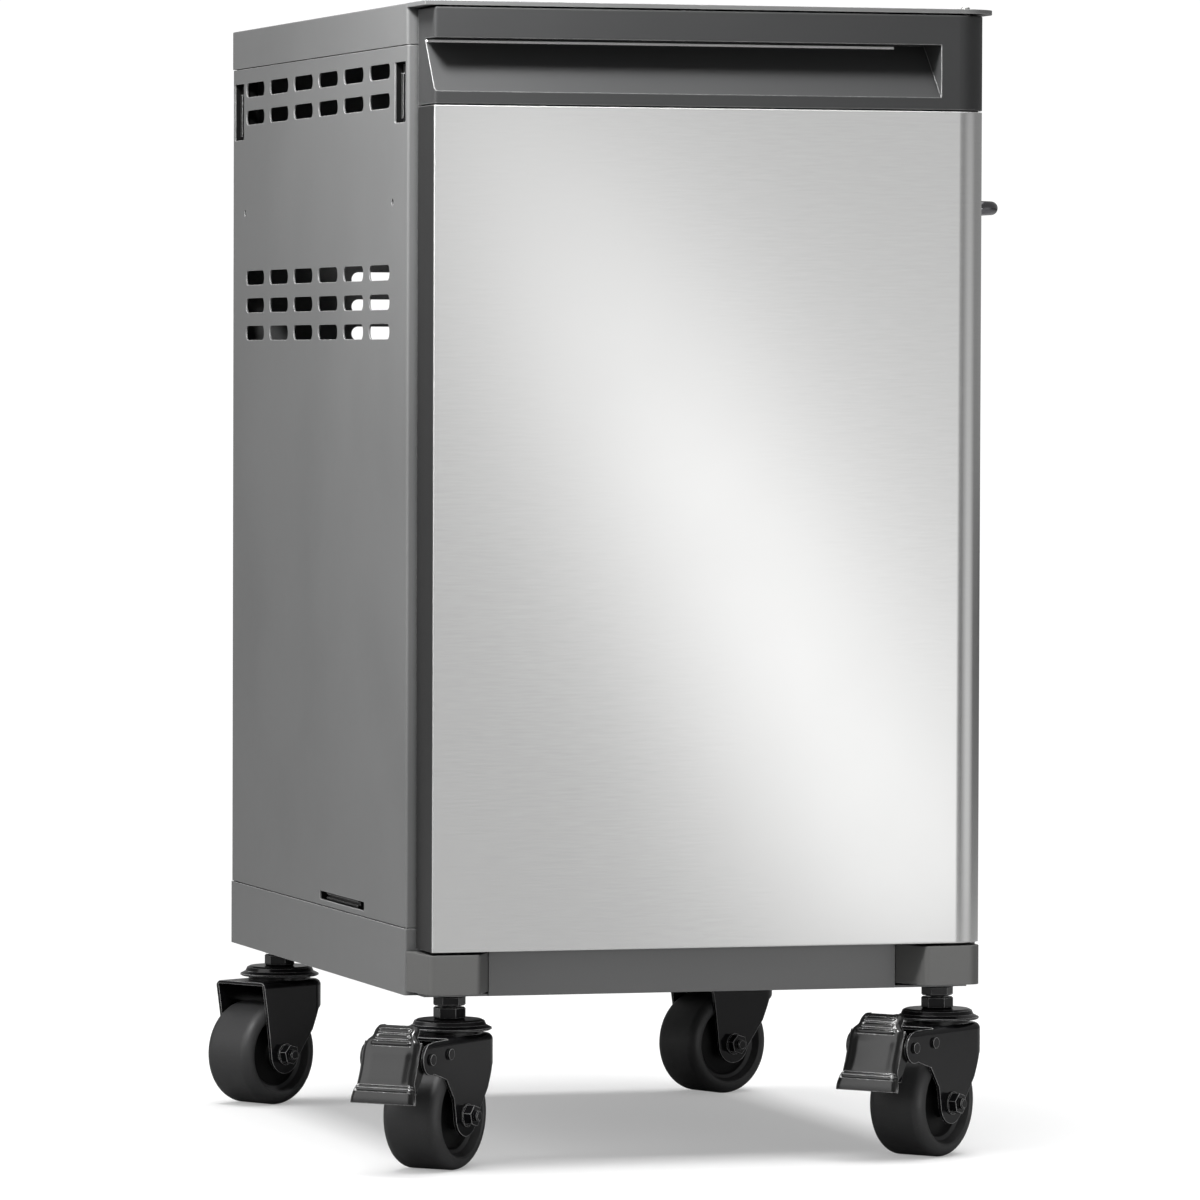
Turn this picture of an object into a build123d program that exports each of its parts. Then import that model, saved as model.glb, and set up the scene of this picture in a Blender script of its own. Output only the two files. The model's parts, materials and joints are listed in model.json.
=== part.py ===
from build123d import *
from math import cos, radians, sin
import os

os.makedirs("parts", exist_ok=True)

# A wheeled equipment cabinet for a countertop soft serve machine.
# Millimetres, +Z up, the front (door) faces -Y and the floor is z = 0.
# The origin lies on the floor, in the middle of the whole object's box.

# ---------------------------------------------------------------- driving dimensions

# carcass
left = -260.256          # x of the carcass's left side
front = -273.906          # y of the carcass's front plane, which the door closes on
width = 546.5
depth = 662.0
base_z = 155.0           # underside of the base tray
base_seam_z = 215.5      # seam between the base tray and the side panels
skirt_seam_z = 1014.5    # seam between the side panels and the top cover's skirt
top_z = 1051.5
sheet = 1.5              # sheet-metal thickness of the panels
top_sheet = 2.0
tray_sheet = 2.0         # thickness of the base tray's floor
seam_gap = 0.8
inset = 0.8              # how far the side panels sit inside the top cover's skirt
flange = 20.0            # width of the panels' return flanges

# side vents, hanger windows and rail holes
vent_length = 73.0
vent_height = 14.0
vent_pitch = 94.5
vent_row_pitch = 26.85
vent_columns = 6
vent_mid_y = 335.0       # middle of the vent columns, behind the carcass front
upper_vents_z = 979.1    # middle of the two upper rows
lower_vents_z = 782.6    # middle of the three lower rows
back_vent_length = 85.0
back_vent_pitch = 110.0
back_vent_columns = 3
window_width = 38.0
window_height = 55.0
window_z = 972.0
window_inset_y = 26.0    # middle of a window, from the carcass's front and back
tab_slot_length = 164.0
tab_slot_height = 8.0
tab_slot_y = 230.0
tab_slot_z = 225.5
rail_z = 873.0
rail_end_y = 52.5        # rail fixing hole, behind the carcass front
rail_spacing = 560.0
rail_hole_r = 3.25
rail_r = 6.35
rail_stand_off = 43.0    # side panel to the rail's outer side
rail_bend_r = 20.0

# door
door_front = 62.0        # door front, ahead of the carcass front
door_back = 5.0          # door back, ahead of the carcass front
door_left = 9.0          # door's left edge, from the carcass's left side
door_right = 536.0       # door's right edge, from the carcass's left side
door_corner_r = 30.5
door_bottom_z = 198.0
skin_top_z = 958.0
skin_sheet = 1.2
edge_trim = 3.0          # thickness of the door's left edge trim
handle_bottom_z = 959.5
handle_top_z = 1046.0
handle_wall = 3.0
grip_bottom_z = 970.5
grip_top_z = 1018.5
grip_depth = 33.0
grip_end = 488.0         # right end of the grip at the door's front
strip_right = 452.0      # right end of the bright strip in the grip
grip_draft = 6.0         # how far the end wall leans over the grip's depth
lip_wall = 8.0
pocket_top_z = 1036.0
hinge_x = 520.5          # hinge axis, from the carcass's left side
hinge_y = 34.0           # hinge axis, ahead of the carcass front
hinge_pin_r = 4.0
bush_r = 6.5             # outside of the bushes round the hinge pins
pin_play = 0.05
plate_thickness = 4.0

# base front
rail_front = 25.0        # base front rail, ahead of the carcass front
cap_bottom_z = 159.5
cap_top_z = 195.5
cap_wall = 2.5
left_cap_width = 71.5
right_cap_start = 460.0
right_cap_end = 531.5
right_cap_r = 13.0
cap_chamfer = 18.0
cap_gap = 4.0            # open gap between the left cap's outer end and the carcass

# casters
caster_inset_x = 40.0    # stem axis, from each side of the carcass
front_stem_y = -8.0      # stem axes, behind the carcass front
rear_stem_y = 624.0
stem_r = 6.0
nut_across_flats = 25.5
wheel_r = 50.0
wheel_half = 29.0
wheel_shoulder = 10.0
trail = 26.0             # swivel axis to wheel axle
fork_half = 33.0
fork_sheet = 3.0
fork_top_z = 121.0
fork_front = 55.0
fork_back = 35.0
axle_r = 5.0
pedal_pivot_r = 90.0     # pedal pivot, from the swivel axis
pedal_pivot_z = 105.0
stop_pin_r = 57.0
stop_pin_z = 107.5
swivel_angles = {
    "front_left": 225.0,
    "front_right": 219.0,
    "rear_left": 212.0,
    "rear_right": 204.0,
}

# worked out from the driving dimensions
right = left + width
back = front + depth
middle_x = left + width / 2
middle_y = front + depth / 2
mirror_plane = Plane.YZ.offset(middle_x)
stem_positions = {
    "front_left": (left + caster_inset_x, front + front_stem_y),
    "front_right": (right - caster_inset_x, front + front_stem_y),
    "rear_left": (left + caster_inset_x, front + rear_stem_y),
    "rear_right": (right - caster_inset_x, front + rear_stem_y),
}


# ---------------------------------------------------------------- helpers

def block(x0, x1, y0, y1, z0, z1, mode=Mode.ADD):
    """A box between two corners, in the part being built."""
    with Locations(((x0 + x1) / 2, (y0 + y1) / 2, (z0 + z1) / 2)):
        Box(x1 - x0, y1 - y0, z1 - z0, mode=mode)


def side_sketch_plane(x):
    """A plane across the carcass at x, with +Y to its right and +Z up."""
    return Plane.YZ.offset(x)


def front_sketch_plane(y):
    """A plane along the carcass at y, with +X to its right and +Z up."""
    return Plane.XZ.offset(-y)


def save(builder, name):
    """Labels a finished piece and writes its STEP file."""
    builder.part.label = name
    export_step(builder.part, f"parts/{name}.step")


# ---------------------------------------------------------------- carcass panels

with BuildPart() as top_cover:
    block(left, right, front, back, skirt_seam_z, top_z)
    fillet(top_cover.edges().filter_by(Axis.Z), radius=2.5)
    fillet(top_cover.faces().sort_by(Axis.Z)[-1].edges(), radius=1.2)
    block(left + sheet, right - sheet, front + sheet, back - sheet,
          skirt_seam_z, top_z - top_sheet, mode=Mode.SUBTRACT)
save(top_cover, "top_cover")

# Thin plate over the door, flush with the top; it carries the upper hinge pin.
with BuildPart() as hinge_plate:
    with BuildSketch(Plane.XY.offset(top_z - plate_thickness)):
        with BuildLine():
            Polyline(
                (right - door_corner_r - 4, front - door_front),
                (left, front - door_front),
                (left, front),
                (right, front),
                (right, front - door_front + door_corner_r + 4),
            )
            RadiusArc(
                (right, front - door_front + door_corner_r + 4),
                (right - door_corner_r - 4, front - door_front),
                door_corner_r + 4,
            )
        make_face()
    extrude(amount=plate_thickness)
    block(left + 20, right - 20, front - sheet, front, 1018, top_z - plate_thickness)
    with Locations((left + hinge_x, front - hinge_y, top_z - plate_thickness / 2)):
        Cylinder(hinge_pin_r, plate_thickness + 1, mode=Mode.SUBTRACT)
save(hinge_plate, "hinge_plate")


with BuildPart() as left_side_panel:
    panel_left = left + inset
    panel_bottom = base_seam_z + seam_gap
    panel_top = skirt_seam_z - seam_gap
    block(panel_left, panel_left + flange, front, back, panel_bottom, panel_top)
    fillet(left_side_panel.edges().filter_by(Axis.Z).group_by(Axis.X)[0], radius=2.5)
    block(panel_left + sheet, panel_left + flange, front + sheet, back - sheet,
          panel_bottom, panel_top, mode=Mode.SUBTRACT)
    with BuildSketch(side_sketch_plane(panel_left)):
        with Locations((front + vent_mid_y, upper_vents_z)):
            with GridLocations(vent_pitch, vent_row_pitch, vent_columns, 2):
                SlotOverall(vent_length, vent_height)
        with Locations((front + vent_mid_y, lower_vents_z)):
            with GridLocations(vent_pitch, vent_row_pitch, vent_columns, 3):
                SlotOverall(vent_length, vent_height)
        with Locations((front + window_inset_y, window_z), (back - window_inset_y, window_z)):
            RectangleRounded(window_width, window_height, 2.0)
        with Locations((front + tab_slot_y, tab_slot_z)):
            RectangleRounded(tab_slot_length, tab_slot_height, 1.0)
        with Locations((front + rail_end_y, rail_z), (front + rail_end_y + rail_spacing, rail_z)):
            Circle(rail_hole_r)
    extrude(amount=sheet, mode=Mode.SUBTRACT)
save(left_side_panel, "left_side_panel")

with BuildPart() as right_side_panel:
    add(left_side_panel.part.mirror(mirror_plane))
save(right_side_panel, "right_side_panel")

with BuildPart() as back_panel:
    panel_y = back - sheet - sheet
    block(left + 4, right - 4, panel_y, panel_y + sheet, base_seam_z + 2, skirt_seam_z + 12)
    with BuildSketch(front_sketch_plane(panel_y)):
        with Locations((middle_x, lower_vents_z)):
            with GridLocations(back_vent_pitch, vent_row_pitch, back_vent_columns, 3):
                SlotOverall(back_vent_length, vent_height)
    extrude(amount=-sheet, mode=Mode.SUBTRACT)
save(back_panel, "back_panel")

# Screws that hold the back panel to the side panels' rear flanges.
with BuildPart() as back_panel_screws:
    screw_rows = [base_seam_z + 60, 480.0, 745.0, skirt_seam_z - 60]
    with BuildSketch(front_sketch_plane(back)):
        for screw_x in (left + 11, right - 11):
            with Locations(*[(screw_x, row) for row in screw_rows]):
                Circle(4.5)
    extrude(amount=-2.0)
    fillet(back_panel_screws.edges().group_by(Axis.Y)[-1], radius=1.2)
save(back_panel_screws, "back_panel_screws")


# ---------------------------------------------------------------- base

# Tray that the panels stand on: floor, side and rear bands and a front lip.
with BuildPart() as base_tray:
    tray_top = base_seam_z
    block(left, right, front, back, base_z, tray_top)
    fillet(base_tray.edges().filter_by(Axis.Z), radius=2.5)
    floor_top = base_z + tray_sheet
    block(left + sheet, right - sheet, front + sheet, back - sheet,
          floor_top, tray_top, mode=Mode.SUBTRACT)
    block(left + flange, right - flange, front, front + sheet,
          floor_top, tray_top, mode=Mode.SUBTRACT)
    # tongue that the front casters' stems pass through
    block(left + 12, right - 17, front - rail_front + sheet, front + 1, base_z, floor_top)
    with Locations(*[(x, y, base_z + tray_sheet / 2) for x, y in stem_positions.values()]):
        Cylinder(stem_r + 0.5, 2 * tray_sheet, mode=Mode.SUBTRACT)
save(base_tray, "base_tray")

with BuildPart() as front_rail:
    rail_y = front - rail_front
    rail_x0 = left + left_cap_width + 0.6
    rail_x1 = left + right_cap_start - 0.6
    block(rail_x0, rail_x1, rail_y, rail_y + sheet, base_z, cap_top_z)
    block(rail_x0, rail_x1, rail_y, front, cap_top_z - sheet, cap_top_z)
    fillet(front_rail.edges().filter_by(Axis.X).group_by(Axis.Y)[0], radius=0.7)
save(front_rail, "front_rail")


# Left corner cap: a thin-walled cover, open below.
with BuildPart() as corner_cap_left:
    cap_points = [
        (left + 22, front - 0.3),
        (left + 22, front - cap_gap),
        (left + 0.5, front - cap_gap),
        (left + 7, front - door_front),
        (left + left_cap_width - cap_chamfer, front - door_front),
        (left + left_cap_width, front - rail_front),
        (left + left_cap_width, front - 0.3),
    ]
    with BuildSketch(Plane.XY.offset(cap_bottom_z)) as cap_sketch:
        with BuildLine():
            Polyline(*cap_points, close=True)
        make_face()
        fillet(cap_sketch.vertices().group_by(Axis.Y)[0], radius=6)
    extrude(amount=cap_top_z - cap_bottom_z)
    fillet(corner_cap_left.faces().sort_by(Axis.Z)[-1].edges(), radius=1.0)
    with BuildSketch(Plane.XY.offset(cap_bottom_z)):
        with BuildLine():
            Polyline(*cap_points, close=True)
        make_face()
        offset(amount=-cap_wall, kind=Kind.INTERSECTION)
    extrude(amount=cap_top_z - cap_bottom_z - cap_wall, mode=Mode.SUBTRACT)
    block(left + 22 + cap_wall, left + left_cap_width - cap_wall, front - 4, front,
          cap_bottom_z, cap_top_z - cap_wall, mode=Mode.SUBTRACT)
save(corner_cap_left, "corner_cap_left")

# Right corner cap, with a rounded outer corner.
with BuildPart() as corner_cap_right:
    cap_end = left + right_cap_end
    bracket_left = right - 50
    bracket_right = cap_end - 3
    cap_points = [
        (cap_end, front - 0.3),
        (cap_end, front - door_front),
        (left + right_cap_start + cap_chamfer, front - door_front),
        (left + right_cap_start, front - rail_front),
        (left + right_cap_start, front - 0.3),
    ]
    with BuildSketch(Plane.XY.offset(cap_bottom_z)) as cap_sketch:
        with BuildLine():
            Polyline(*cap_points, close=True)
        make_face()
        fillet(cap_sketch.vertices().group_by(Axis.Y)[0].sort_by(Axis.X)[-1], radius=right_cap_r)
        fillet(cap_sketch.vertices().group_by(Axis.Y)[0].sort_by(Axis.X)[0], radius=6)
    extrude(amount=cap_top_z - cap_bottom_z)
    fillet(corner_cap_right.faces().sort_by(Axis.Z)[-1].edges(), radius=1.0)
    with BuildSketch(Plane.XY.offset(cap_bottom_z)) as cap_inner:
        with BuildLine():
            Polyline(*cap_points, close=True)
        make_face()
        fillet(cap_inner.vertices().group_by(Axis.Y)[0].sort_by(Axis.X)[-1], radius=right_cap_r)
        offset(amount=-cap_wall, kind=Kind.INTERSECTION)
    extrude(amount=cap_top_z - cap_bottom_z - cap_wall, mode=Mode.SUBTRACT)
    block(left + right_cap_start + cap_wall, cap_end - cap_wall, front - 4, front,
          cap_bottom_z, cap_top_z - cap_wall, mode=Mode.SUBTRACT)
    # notch for the fold of the lower hinge's bracket
    block(bracket_left - 0.4, bracket_right + 0.4, front - 2.6, front,
          cap_top_z - cap_wall, cap_top_z, mode=Mode.SUBTRACT)
save(corner_cap_right, "corner_cap_right")

with BuildPart() as floor_panel:
    floor_z = base_seam_z - sheet
    block(left + 3, right - 3, front + 3, back - 4, base_z + 40, floor_z)
    block(left + 3 + sheet, right - 3 - sheet, front + 3 + sheet, back - 4 - sheet,
          base_z + 40, floor_z - sheet, mode=Mode.SUBTRACT)
save(floor_panel, "floor_panel")

# Four angle bars behind the door that stiffen the carcass's mouth: two uprights, two cross bars.
with BuildPart() as front_frame:
    bar_y = front + sheet + 0.1
    bar_fold = 20.0
    upright_left = left + 16
    mouth_left = left + 30
    frame_bottom = base_seam_z + 1
    frame_top = skirt_seam_z - 1
    block(upright_left, mouth_left, bar_y, bar_y + sheet, frame_bottom, frame_top)
    block(upright_left, upright_left + sheet, bar_y, bar_y + bar_fold, frame_bottom, frame_top)
    mirror(about=mirror_plane)
    cross_left = mouth_left + 0.2
    cross_right = right - 30 - 0.2
    block(cross_left, cross_right, bar_y, bar_y + sheet, frame_bottom, frame_bottom + 25)
    block(cross_left, cross_right, bar_y, bar_y + bar_fold, frame_bottom, frame_bottom + sheet)
    block(cross_left, cross_right, bar_y, bar_y + sheet, frame_top - 27, frame_top)
    block(cross_left, cross_right, bar_y, bar_y + bar_fold, frame_top - sheet, frame_top)
save(front_frame, "front_frame")


# ---------------------------------------------------------------- side fittings

# Black cups behind the hanger windows and the tab slots of both sides.
with BuildPart() as hanger_pockets:
    pocket_x = left + inset + sheet
    pocket_depth = 12.0
    pocket_wall = 1.2
    window_ys = (front + window_inset_y, back - window_inset_y)
    hollows = [(window_y, window_z, window_width, window_height) for window_y in window_ys]
    hollows.append((front + tab_slot_y, tab_slot_z, tab_slot_length, tab_slot_height))
    for hollow_y, hollow_z, hollow_width, hollow_height in hollows:
        with BuildSketch(side_sketch_plane(pocket_x)):
            with Locations((hollow_y, hollow_z)):
                Rectangle(hollow_width + 2 * pocket_wall, hollow_height + 2 * pocket_wall)
        extrude(amount=pocket_depth)
        with BuildSketch(side_sketch_plane(pocket_x)):
            with Locations((hollow_y, hollow_z)):
                Rectangle(hollow_width, hollow_height)
        extrude(amount=pocket_depth - pocket_wall, mode=Mode.SUBTRACT)
    mirror(about=mirror_plane)
save(hanger_pockets, "hanger_pockets")

# Dark channels in the pockets, each with two ribs, that hanging accessories hook behind.
with BuildPart() as hanger_bars:
    bar_depth = 8.5
    bar_x = pocket_x + pocket_depth - pocket_wall - bar_depth
    bar_bottom = window_z - window_height / 2 + 4
    bar_top = window_z + window_height / 2 - 10
    for window_y in window_ys:
        block(bar_x + 2.5, bar_x + bar_depth, window_y - 16, window_y + 12, bar_bottom - 3, bar_top + 8)
        for rib_y in (window_y - 14, window_y + 4):
            block(bar_x, bar_x + 2.5, rib_y, rib_y + 6, bar_bottom, bar_top)
    tab_y = front + tab_slot_y
    block(bar_x + 2.5, bar_x + bar_depth, tab_y - 46, tab_y + 74, tab_slot_z - 3.2, tab_slot_z + 3.2)
    for rib_z in (tab_slot_z - 3.2, tab_slot_z + 1.4):
        block(bar_x, bar_x + 2.5, tab_y - 46, tab_y + 70, rib_z, rib_z + 1.8)
    mirror(about=mirror_plane)
save(hanger_bars, "hanger_bars")

# Round rail on the right side, with bent ends that butt on the side panel.
with BuildPart() as side_rail:
    rail_x = right - inset
    rail_front_y = front + rail_end_y
    rail_back_y = rail_front_y + rail_spacing
    rail_axis_x = rail_x + rail_stand_off - rail_r
    with BuildLine() as rail_path:
        FilletPolyline(
            (rail_x, rail_front_y, rail_z),
            (rail_axis_x, rail_front_y, rail_z),
            (rail_axis_x, rail_back_y, rail_z),
            (rail_x, rail_back_y, rail_z),
            radius=rail_bend_r,
        )
    with BuildSketch(Plane(origin=(rail_x, rail_front_y, rail_z), z_dir=(1, 0, 0))):
        Circle(rail_r)
    sweep()
    with BuildSketch(side_sketch_plane(rail_x)):
        with Locations((rail_front_y, rail_z), (rail_back_y, rail_z)):
            Circle(2.5)
    extrude(amount=12, mode=Mode.SUBTRACT)
save(side_rail, "side_rail")

# Pan-head screws from inside the cabinet into the rail's ends.
with BuildPart() as rail_screws:
    inner_face = rail_x - sheet
    with BuildSketch(side_sketch_plane(inner_face - 3)):
        with Locations((rail_front_y, rail_z), (rail_back_y, rail_z)):
            Circle(5.5)
    extrude(amount=3)
    fillet(rail_screws.edges().group_by(Axis.X)[0], radius=1.5)
    with BuildSketch(side_sketch_plane(inner_face)):
        with Locations((rail_front_y, rail_z), (rail_back_y, rail_z)):
            Circle(2.4)
    extrude(amount=sheet + 10)
save(rail_screws, "rail_screws")


# ---------------------------------------------------------------- door

door_x0 = left + door_left
door_x1 = left + door_right
door_y0 = front - door_front
door_y1 = front - door_back


def door_plan(inset_by, x0, y1):
    """The door's plan outline as a face, its front right corner rounded."""
    with BuildSketch() as plan:
        with BuildLine():
            Polyline(
                (door_x1 - inset_by, door_y0 + inset_by),
                (x0, door_y0 + inset_by),
                (x0, y1),
                (door_x1 - inset_by, y1),
                close=True,
            )
        make_face()
        front_right = plan.vertices().group_by(Axis.Y)[0].sort_by(Axis.X)[-1]
        fillet(front_right, radius=door_corner_r - inset_by)
    return plan.sketch


# Stainless skin: the front, the rounded right corner and the right side.
with BuildPart() as door_skin:
    with BuildSketch(Plane.XY.offset(door_bottom_z)):
        add(door_plan(0, door_x0, door_y1))
    extrude(amount=skin_top_z - door_bottom_z)
    with BuildSketch(Plane.XY.offset(door_bottom_z)):
        add(door_plan(skin_sheet, door_x0 - 1, door_y1 + 1))
    extrude(amount=skin_top_z - door_bottom_z, mode=Mode.SUBTRACT)
    block(door_x0, door_x0 + skin_sheet, door_y0, door_y0 + 2.4, door_bottom_z, skin_top_z)
save(door_skin, "door_skin")

# Dark painted edge strip that closes the door's left side.
with BuildPart() as door_edge_trim:
    block(door_x0 + 0.2, door_x0 + edge_trim, door_y0 + 2.4, door_y1, door_bottom_z, skin_top_z)
    fillet(door_edge_trim.edges().filter_by(Axis.Z).group_by(Axis.X)[0], radius=0.6)
save(door_edge_trim, "door_edge_trim")

# Inner pan of the door: back sheet with folded edges all round.
with BuildPart() as door_liner:
    pan_left = door_x0 + edge_trim
    with BuildSketch(Plane.XY.offset(door_bottom_z + 0.4)):
        add(door_plan(skin_sheet + 0.3, pan_left, door_y1))
    extrude(amount=skin_top_z - door_bottom_z - 0.8)
    with BuildSketch(Plane.XY.offset(door_bottom_z + 0.4 + sheet)):
        add(door_plan(skin_sheet + 0.3 + sheet, pan_left + sheet, door_y1 - sheet))
    extrude(amount=skin_top_z - door_bottom_z - 0.8 - 2 * sheet, mode=Mode.SUBTRACT)
    # the pan is open towards the skin, inside a border
    block(pan_left + 16, door_x1 - 46, door_y0 - 1, door_y1 - sheet,
          door_bottom_z + 16, skin_top_z - 16, mode=Mode.SUBTRACT)
    block(pan_left, door_x1 - 2, door_y1 - sheet, door_y1, skin_top_z - 1, handle_top_z - 8)
    with Locations((left + hinge_x, front - hinge_y, door_bottom_z)):
        Cylinder(bush_r, 10, mode=Mode.SUBTRACT)
save(door_liner, "door_liner")

# Full-width handle moulding: a hollow block with a slanted grip that opens to the left.
with BuildPart() as grip_cutter:
    with BuildSketch(side_sketch_plane(door_x0 - 5)):
        with BuildLine():
            Polyline(
                (door_y0 - 5, grip_bottom_z),
                (door_y0, grip_bottom_z),
                (door_y0 + grip_depth, grip_top_z),
                (door_y0 - 5, grip_top_z),
                close=True,
            )
        make_face()
    extrude(amount=grip_end - door_left + 5)
    with BuildSketch(side_sketch_plane(door_x0 + handle_wall + 1)):
        with Locations((door_y0 + (lip_wall + grip_depth) / 2, (grip_top_z + pocket_top_z) / 2)):
            Rectangle(grip_depth - lip_wall, pocket_top_z - grip_top_z + 0.02)
    extrude(amount=grip_end - door_left - handle_wall - 1)
    with BuildSketch(Plane.XY.offset(grip_bottom_z - 1)):
        with BuildLine():
            Polyline(
                (door_x0 - 5, door_y0 - 5),
                (left + grip_end, door_y0 - 5),
                (left + grip_end, door_y0),
                (left + grip_end - grip_draft, door_y0 + grip_depth),
                (door_x0 - 5, door_y0 + grip_depth),
                close=True,
            )
        make_face()
    extrude(amount=pocket_top_z - grip_bottom_z + 2, mode=Mode.INTERSECT)

with BuildPart() as handle_moulding:
    handle_y1 = door_y1 - sheet
    with BuildSketch(Plane.XY.offset(handle_bottom_z)):
        add(door_plan(0, door_x0, handle_y1))
    extrude(amount=handle_top_z - handle_bottom_z)
    fillet(handle_moulding.edges().filter_by(Axis.Z).group_by(Axis.X)[0].sort_by(Axis.Y)[0], radius=3)
    fillet(handle_moulding.faces().sort_by(Axis.Z)[-1].edges().group_by(Axis.Y)[0], radius=1.5)
    add(grip_cutter.part, mode=Mode.SUBTRACT)
    # hollow behind the grip, open at the back where the door's liner closes it
    with BuildSketch(side_sketch_plane(door_x0 + handle_wall)):
        with BuildLine():
            Polyline(
                (handle_y1 + 1, handle_bottom_z + handle_wall),
                (door_y0 + handle_wall, handle_bottom_z + handle_wall),
                (door_y0 + handle_wall, grip_bottom_z - 1),
                (door_y0 + grip_depth + handle_wall, grip_top_z - 1),
                (door_y0 + grip_depth + handle_wall, handle_top_z - handle_wall),
                (handle_y1 + 1, handle_top_z - handle_wall),
                close=True,
            )
        make_face()
    extrude(amount=grip_end - door_left - handle_wall, mode=Mode.SUBTRACT)
    with Locations((left + hinge_x, front - hinge_y, handle_top_z - 12)):
        Cylinder(bush_r, 26, mode=Mode.SUBTRACT)
save(handle_moulding, "handle_moulding")

# Bright strip on the slanted wall of the grip, just under its top edge.
with BuildPart() as grip_strip:
    wall_lean = grip_depth / (grip_top_z - grip_bottom_z)
    strip_top_z = grip_top_z - 1.7
    strip_bottom_z = strip_top_z - 1.8
    strip_back_y = door_y0 + wall_lean * (strip_top_z - grip_bottom_z) - 0.05
    strip_low_y = door_y0 + wall_lean * (strip_bottom_z - grip_bottom_z) - 0.05
    with BuildSketch(side_sketch_plane(door_x0 + 0.4)):
        with BuildLine():
            Polyline(
                (strip_low_y, strip_bottom_z),
                (strip_back_y, strip_top_z),
                (strip_back_y - 1.0, strip_top_z + 0.7),
                (strip_low_y - 1.0, strip_bottom_z + 0.7),
                close=True,
            )
        make_face()
    extrude(amount=strip_right - door_left - 0.4)
save(grip_strip, "grip_strip")

# Bushes in the handle moulding and in the liner's lower edge, round the hinge pins.
with BuildPart() as hinge_bushes:
    with Locations((left + hinge_x, front - hinge_y, handle_top_z - 12)):
        Cylinder(bush_r, 24)
    with Locations((left + hinge_x, front - hinge_y, door_bottom_z + 6.2)):
        Cylinder(bush_r, 11.2)
    with Locations((left + hinge_x, front - hinge_y, door_bottom_z)):
        Cylinder(hinge_pin_r + pin_play, 50, mode=Mode.SUBTRACT)
    with Locations((left + hinge_x, front - hinge_y, handle_top_z)):
        Cylinder(hinge_pin_r + pin_play, 60, mode=Mode.SUBTRACT)
save(hinge_bushes, "hinge_bushes")

with BuildPart() as top_hinge_pin:
    with Locations((left + hinge_x, front - hinge_y, (top_z + 3 + handle_top_z - 22) / 2)):
        Cylinder(hinge_pin_r, top_z + 3 - handle_top_z + 22)
    fillet(top_hinge_pin.edges().group_by(Axis.Z)[-1], radius=1.2)
save(top_hinge_pin, "top_hinge_pin")

# Lower hinge: plate over the right corner cap, folded down against the base tray's front.
with BuildPart() as lower_hinge_bracket:
    block(bracket_left, bracket_right, front - hinge_y - 9, front - 0.2, cap_top_z, cap_top_z + 2)
    fillet(lower_hinge_bracket.edges().filter_by(Axis.Z).group_by(Axis.Y)[0], radius=7)
    block(bracket_left, bracket_right, front - 2.2, front - 0.2, base_z + 26, cap_top_z)
    with Locations((left + hinge_x, front - hinge_y, cap_top_z + 1)):
        Cylinder(hinge_pin_r, 4, mode=Mode.SUBTRACT)
save(lower_hinge_bracket, "lower_hinge_bracket")

with BuildPart() as lower_hinge_pin:
    with Locations((left + hinge_x, front - hinge_y, cap_top_z + 6.5)):
        Cylinder(hinge_pin_r, 13)
    fillet(lower_hinge_pin.edges().group_by(Axis.Z)[-1], radius=1)
save(lower_hinge_pin, "lower_hinge_pin")

# Magnetic catch on the front frame, its strike on the door, and the door's rubber bumpers.
with BuildPart() as magnetic_catch:
    block(left + 30.2, left + 45, front - 1.5, front + 20, 575, 625)
    fillet(magnetic_catch.edges().filter_by(Axis.Y), radius=2)
save(magnetic_catch, "magnetic_catch")

with BuildPart() as catch_strike:
    block(left + 26, left + 49, door_y1, door_y1 + 1.5, 570, 630)
    fillet(catch_strike.edges().filter_by(Axis.Y), radius=3)
save(catch_strike, "catch_strike")

with BuildPart() as door_bumpers:
    with BuildSketch(front_sketch_plane(door_y1)):
        with Locations((left + 22, 260), (left + 22, 930)):
            Circle(5)
    extrude(amount=-4)
    fillet(door_bumpers.edges().group_by(Axis.Y)[-1], radius=1.5)
save(door_bumpers, "door_bumpers")


# ---------------------------------------------------------------- casters

stem_points = [(x, y, 0) for x, y in stem_positions.values()]
cap_base_z = 124.2       # underside of the raceway caps
cap_crown_z = 134.0
lock_nut_z = 146.0
pin_head_z = fork_top_z - fork_sheet - 3.3

# Square sockets in the base tray that the stems screw into.
with BuildPart() as stem_sockets:
    with Locations(*[(x, y, base_z + 2 + 9) for x, y in stem_positions.values()]):
        Box(30, 22, 18)
        Cylinder(stem_r, 20, mode=Mode.SUBTRACT)
save(stem_sockets, "stem_sockets")


# Threaded stems, each with a rivet head below the fork.
with BuildPart() as caster_stems:
    with BuildSketch(Plane.XY.offset(pin_head_z)):
        with Locations(*stem_points):
            Circle(stem_r)
    extrude(amount=base_z + 24 - pin_head_z)
    chamfer(caster_stems.edges().group_by(Axis.Z)[-1], length=1.2)
    with BuildSketch(Plane.XY.offset(pin_head_z)):
        with Locations(*stem_points):
            Circle(10)
    extrude(amount=3)
save(caster_stems, "caster_stems")

# Two hex nuts on each stem: the upper one locks against the base tray.
with BuildPart() as lock_nuts:
    with BuildSketch(Plane.XY.offset(lock_nut_z)):
        with Locations(*stem_points):
            RegularPolygon(nut_across_flats / 2, 6, major_radius=False, rotation=50)
            Circle(stem_r, mode=Mode.SUBTRACT)
    extrude(amount=base_z - lock_nut_z)
    chamfer(lock_nuts.edges().filter_by(GeomType.LINE).filter_by(Axis.Z, reverse=True), length=1.2)
save(lock_nuts, "lock_nuts")

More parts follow.
